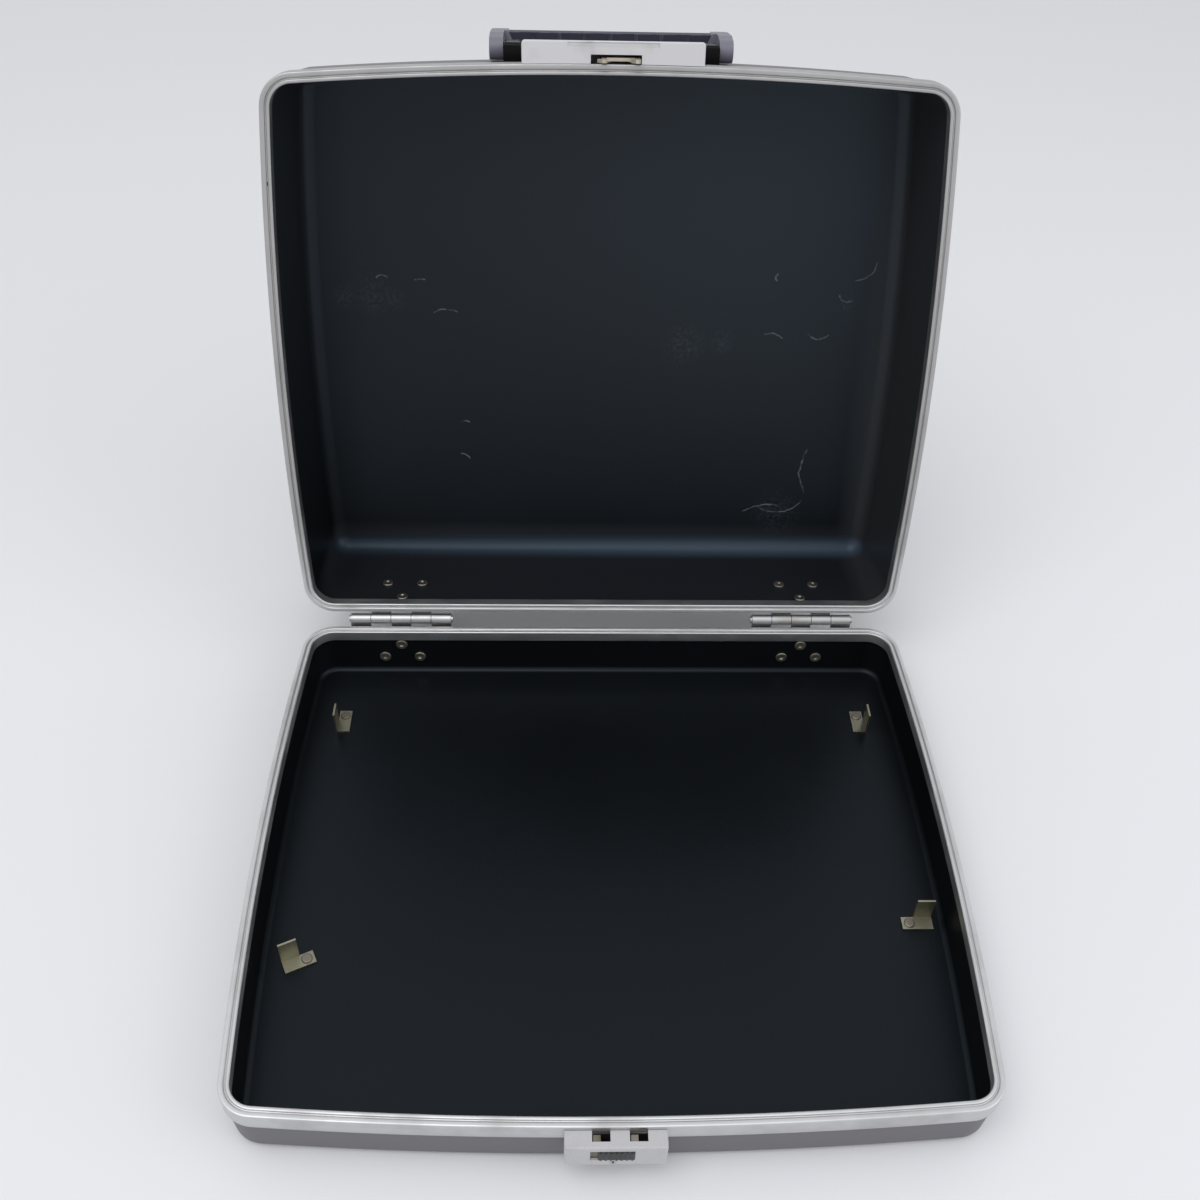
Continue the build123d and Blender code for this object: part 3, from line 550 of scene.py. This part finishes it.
def lid_marks(tree, where):
    """The lining's few rub marks and smudges, each placed on the lid's panel, as one mask."""
    marks = 0.0
    for x, z, bend, aim, half_turn in RUBS:
        turn = np.radians(aim)
        inputs = {"Vector": where, "Centre": (x * MM, 0, z * MM), "Bend": bend * MM}
        inputs["Width"] = RUB_WIDTH * MM
        inputs["Aim"] = (np.cos(turn), 0, np.sin(turn))
        inputs["Spread"] = np.cos(np.radians(half_turn))
        marks = maths(tree, "MAXIMUM", marks, use(tree, RUB, inputs))
    for x, z, radius in SMUDGES:
        inputs = {"Vector": where, "Centre": (x * MM, 0, z * MM), "Radius": radius * MM}
        haze = maths(tree, "MULTIPLY", use(tree, SMUDGE, inputs), HAZE)
        marks = maths(tree, "MAXIMUM", marks, haze)
    return marks


def zone(tree, spot, *limits):
    """A mask that fills where each named coordinate passes from its first limit to its second."""
    mask = 1.0
    for axis, start, full in limits:
        mask = maths(tree, "MULTIPLY", mask, ramp(tree, spot[axis], start, full))
    return mask


def lining():
    """Vacuum-formed lining: blue-black, softly glossy, with fine peel, a little dust and rub marks.

    The base's is plain. On the open lid, painted light makes it lighter upwards and bluer to the
    right, with painted light on the sill by the hinges and on the right wall, and a painted
    highlight in a pale band at the panel's foot.
    """
    tint = (0.72, 0.86, 1, 1)
    material, tree, shader = finish("lining", Specular_IOR_Level=0.24, Specular_Tint=tint)
    where = at_object(tree)
    drift = ramp(tree, noise_at(tree, where, 5.0, 4.0), 0.35, 0.7)
    spot = place(tree, "ShaderNodeSeparateXYZ", {"Vector": where}).outputs
    plain = mixed(tree, drift, (0.002, 0.0025, 0.0032), (0.003, 0.0037, 0.0048))
    # Painted light: the open lid's lining grows lighter upwards and bluer to the right
    rightwards = ramp(tree, spot["X"], -0.1, 0.19)
    painted_light_upwards = mixed(tree, rightwards, (0.0155, 0.018, 0.0215), (0.027, 0.036, 0.047))
    base = mixed(tree, ramp(tree, spot["Z"], 0.05, 0.36), plain, painted_light_upwards)
    on_lid = ("Y", 0.172, 0.18)
    # Painted light: a set tone on the lid's sill, lighter than the plain lining, darker than the lid's
    # top
    sill = zone(tree, spot, on_lid, ("Z", 0.058, 0.05))
    # Painted light: a lighter grey tone on the open lid's right wall
    right_wall = zone(tree, spot, on_lid, ("X", 0.172, 0.186))
    # Painted highlight: a pale band along the foot of the lid's panel, brighter and bluer to the right
    foot = zone(tree, spot, ("Y", 0.246, 0.256), ("Z", 0.049, 0.041))
    rightwards = ramp(tree, spot["X"], -0.15, 0.17)
    pale = mixed(tree, rightwards, (0.021, 0.032, 0.046), (0.043, 0.064, 0.092))
    tones = ((sill, (0.0125, 0.0135, 0.017)), (right_wall, (0.025, 0.027, 0.03)), (foot, pale))
    for mask, tone in tones:
        base = mixed(tree, mask, base, tone)
    specks = ramp(tree, noise_at(tree, where, 700.0), 0.74, 0.8)
    marks = maths(tree, "MAXIMUM", lid_marks(tree, where), maths(tree, "MULTIPLY", specks, 0.12))
    feed(tree, shader, "Base Color", mixed(tree, marks, base, (0.12, 0.14, 0.165)))
    rough = between(tree, drift, 0.33, 0.41)
    feed(tree, shader, "Roughness", maths(tree, "ADD", rough, maths(tree, "MULTIPLY", marks, 0.3)))
    bumped(tree, shader, use(tree, GRAIN, {"Vector": where, "Scale": 420.0}), 0.00005)
    return material


def enamel(name, colour, worn, roughness):
    """Painted die casting: fine speckle, painted light that makes it lighter on the lid, worn pale edges
    and some dirt.
    """
    material, tree, shader = finish(name, Specular_IOR_Level=0.5, Coat_Weight=0.15, Coat_Roughness=0.25)
    where = at_object(tree)
    speckle = ramp(tree, noise_at(tree, where, 1500.0, 1.0), 0.35, 0.65)
    base = mixed(tree, speckle, scaled(colour, 0.9), colour)
    # Painted light: the enamel on the open lid is made lighter
    painted_lid_light = use(tree, UP_THE_LID, {"Vector": where, "Amount": 1.0})
    base = mixed(tree, painted_lid_light, base, scaled(colour, 1.13))
    dirt = ramp(tree, noise_at(tree, where, 60.0, 5.0), 0.6, 0.78)
    dirty = mixed(tree, maths(tree, "MULTIPLY", dirt, 0.3), base, scaled(colour, 0.55))
    edges = use(tree, WEAR, {"Vector": where, "Radius": 0.0005, "Amount": 0.9})
    feed(tree, shader, "Base Color", mixed(tree, edges, dirty, worn))
    feed(tree, shader, "Metallic", maths(tree, "MULTIPLY", edges, 0.7))
    feed(tree, shader, "Roughness", between(tree, dirt, roughness, roughness + 0.2))
    bumped(tree, shader, use(tree, GRAIN, {"Vector": where, "Scale": 1300.0}), 0.00002)
    return material


finishes = {
    "shell": moulded(
        "shell_plastic", colour=(0.15, 0.143, 0.157), worn=(0.3, 0.3, 0.32),
        grain=1500.0, depth=0.00008, roughness=0.5, scratch=0.3,
    ),
    "liner": lining(),
    # The rim on the open lid gets painted shade
    "rim": brushed(
        "rim_aluminium", colour=(0.66, 0.66, 0.67), dark=(0.34, 0.335, 0.33),
        roughness=0.4, across=1800.0, along=9.0, stain=0.4, along_uv=True, lid_painted_shade=0.65,
    ),
    "rivet": brushed(
        "rivet_steel", colour=(0.3, 0.28, 0.24), dark=(0.1, 0.08, 0.06),
        roughness=0.4, across=900.0, along=900.0, stain=0.6,
    ),
    "dark_steel": brushed(
        "dark_steel", colour=(0.12, 0.12, 0.12), dark=(0.05, 0.04, 0.03),
        roughness=0.45, across=900.0, along=900.0, stain=0.6,
    ),
    "hinge": brushed(
        "hinge_steel", colour=(0.5, 0.5, 0.5), dark=(0.24, 0.21, 0.17),
        roughness=0.34, across=1600.0, along=20.0, stain=0.45,
    ),
    "clip": brushed(
        "clip_steel", colour=(0.36, 0.35, 0.27), dark=(0.14, 0.13, 0.08),
        roughness=0.36, across=1200.0, along=30.0, stain=0.5,
    ),
    "latch_paint": enamel(
        "latch_enamel", colour=(0.52, 0.515, 0.53), worn=(0.6, 0.59, 0.6), roughness=0.38
    ),
    "button": moulded(
        "button_plastic", colour=(0.012, 0.012, 0.014), worn=(0.07, 0.07, 0.08),
        grain=1800.0, depth=0.00003, roughness=0.4, scratch=0.3,
    ),
    "lock": brushed(
        "worn_chrome", colour=(0.62, 0.62, 0.63), dark=(0.2, 0.17, 0.12),
        roughness=0.2, across=1500.0, along=1500.0, stain=0.5,
    ),
    "hasp": brushed(
        "hasp_brass", colour=(0.6, 0.55, 0.46), dark=(0.24, 0.19, 0.12),
        roughness=0.3, across=1500.0, along=200.0, stain=0.6,
    ),
    "black": moulded(
        "black_plastic", colour=(0.002, 0.002, 0.0025), worn=(0.03, 0.03, 0.034),
        grain=1500.0, depth=0.00003, roughness=0.26, scratch=0.2, specular=0.14,
    ),
    "handle": moulded(
        "handle_plastic", colour=(0.185, 0.18, 0.225), worn=(0.32, 0.31, 0.36),
        grain=1400.0, depth=0.00005, roughness=0.45, scratch=0.3,
    ),
    "grip": moulded(
        "grip_strip", colour=(0.034, 0.034, 0.056), worn=(0.3, 0.3, 0.37),
        grain=1600.0, depth=0.00006, roughness=0.55, scratch=0.2, specular=0.25,
    ),
}

slot_of = {entry["node"]: entry["material_slot"] for entry in frame["record"]["subparts"]}
for node, obj in frame["nodes"].items():
    obj.data.materials.clear()
    obj.data.materials.append(finishes[slot_of[node]])


# Skins and rims

halves = [
    ("base", in_base, BASE_HEIGHT, BASE_FLOOR, BASE_EDGE),
    ("lid", in_lid, LID_HEIGHT, LID_TOP, LID_EDGE),
]
for body, seat, height, panel, edge in halves:
    shell = skin(SHELL_INSET, SHELL_WALL, height, panel, edge)
    within = height - (panel + LINING_GAP)
    lining_skin = skin(LINING_INSET, LINING_WALL, within, LINING_WALL, edge - SHELL_WALL)
    for name, slot, rings in (("_outside", "shell", shell), ("_lining", "liner", lining_skin)):
        grid, faces, uvs = loft(rings, False)
        make_piece(body + name, seat(grid), faces, uvs, body, slot, [body + "_" + slot])
for body, seat, *_ in halves:
    grid, faces, uvs = loft(rim_section(), True)
    make_piece(body + "_rim_band", seat(grid), faces, uvs, body, "rim", [body + "_rim"], sharp=60)


# Floor, light and camera

# Metres: the floor's reach each way, and how far it lies under the case
FLOOR_REACH, FLOOR_DROP = 6.0, 0.0002

# Strength of the world's light on the object and in gloss, and the place that both lamps look at
EVEN_LIGHT, GLOSS_LIGHT = 0.68, 0.88
LAMP_AIM = (0, 0.1, 0.1)

# The photograph's camera: its place in metres, its turns in degrees, and its focal length in pixels
CAMERA_PLACE = (-0.02743, -0.45413, 0.66138)
YAW, PITCH_DOWN, ROLL = 2.318, 43.44, -1.81
FOCAL_PIXELS, PHOTO_PIXELS = 1291.24, 1200
SENSOR_WIDTH = 36


def floor():
    """Wide pale floor that takes the soft shadow."""
    mesh = bpy.data.meshes.new("floor")
    corners = np.array([[-1, -1, 0], [1, -1, 0], [1, 1, 0], [-1, 1, 0]]) * FLOOR_REACH
    mesh.from_pydata((corners - np.array([0, 0, FLOOR_DROP])).tolist(), [], [(0, 1, 2, 3)])
    obj = bpy.data.objects.new("floor", mesh)
    bpy.context.scene.collection.objects.link(obj)
    pale = (0.83, 0.83, 0.85, 1)
    material = finish("pale_floor", Base_Color=pale, Roughness=0.7, Specular_IOR_Level=0.2)[0]
    mesh.materials.append(material)


def aimed(look):
    """Rotation whose -Z runs along a direction, with X level."""
    back = -look / np.linalg.norm(look)
    side = np.cross([0, 0, 1.0], back)
    side = side / np.linalg.norm(side)
    up = np.cross(back, side)
    return Matrix(np.stack([side, up, back], axis=1).tolist())


def lamp(name, stand, size, power, colour):
    """A soft square lamp that looks from its stand at the case."""
    light = bpy.data.lights.new(name, "AREA")
    light.size = size
    light.energy = power
    light.color = colour
    obj = bpy.data.objects.new(name, light)
    look = np.asarray(LAMP_AIM, dtype=float) - np.asarray(stand, dtype=float)
    obj.matrix_world = Matrix.Translation(stand) @ aimed(look).to_4x4()
    bpy.context.scene.collection.objects.link(obj)


def world():
    """Even light for the object, white behind it for the camera, and a little less for the gloss."""
    sky = bpy.data.worlds.new("studio")
    bpy.context.scene.world = sky
    sky.use_nodes = True
    tree = sky.node_tree
    background = tree.nodes["Background"]
    path = place(tree, "ShaderNodeLightPath").outputs
    bounced = maths(tree, "MAXIMUM", path["Is Glossy Ray"], path["Is Transmission Ray"])
    strength = between(tree, bounced, EVEN_LIGHT, GLOSS_LIGHT)
    strength = maths(tree, "MAXIMUM", path["Is Camera Ray"], strength)
    tree.links.new(strength, background.inputs["Strength"])
    background.inputs["Color"].default_value = (0.97, 0.98, 1.0, 1)


def camera():
    """The photograph's camera, turned by its yaw, then down by its pitch, then by its roll."""
    yaw, pitch, roll = np.radians([YAW, PITCH_DOWN, ROLL])
    look = np.array([np.sin(yaw) * np.cos(pitch), np.cos(yaw) * np.cos(pitch), -np.sin(pitch)])
    level = np.array([np.cos(yaw), -np.sin(yaw), 0])
    down = np.cross(look, level)
    right = level * np.cos(roll) + down * np.sin(roll)
    below = down * np.cos(roll) - level * np.sin(roll)
    data = bpy.data.cameras.new("photo_camera")
    data.sensor_width = SENSOR_WIDTH
    data.lens = SENSOR_WIDTH * FOCAL_PIXELS / PHOTO_PIXELS
    data.clip_end = 50
    obj = bpy.data.objects.new("photo_camera", data)
    turn = Matrix(np.stack([right, -below, -look], axis=1).tolist()).to_4x4()
    obj.matrix_world = Matrix.Translation(CAMERA_PLACE) @ turn
    bpy.context.scene.collection.objects.link(obj)
    bpy.context.scene.camera = obj


floor()
world()
lamp("key", (-0.6, -0.7, 2.3), size=1.8, power=20, colour=(1, 1, 1))
lamp("fill", (1.6, -0.6, 1.2), size=1.4, power=7, colour=(0.93, 0.96, 1))
camera()
bpy.context.scene.view_settings.view_transform = "Standard"
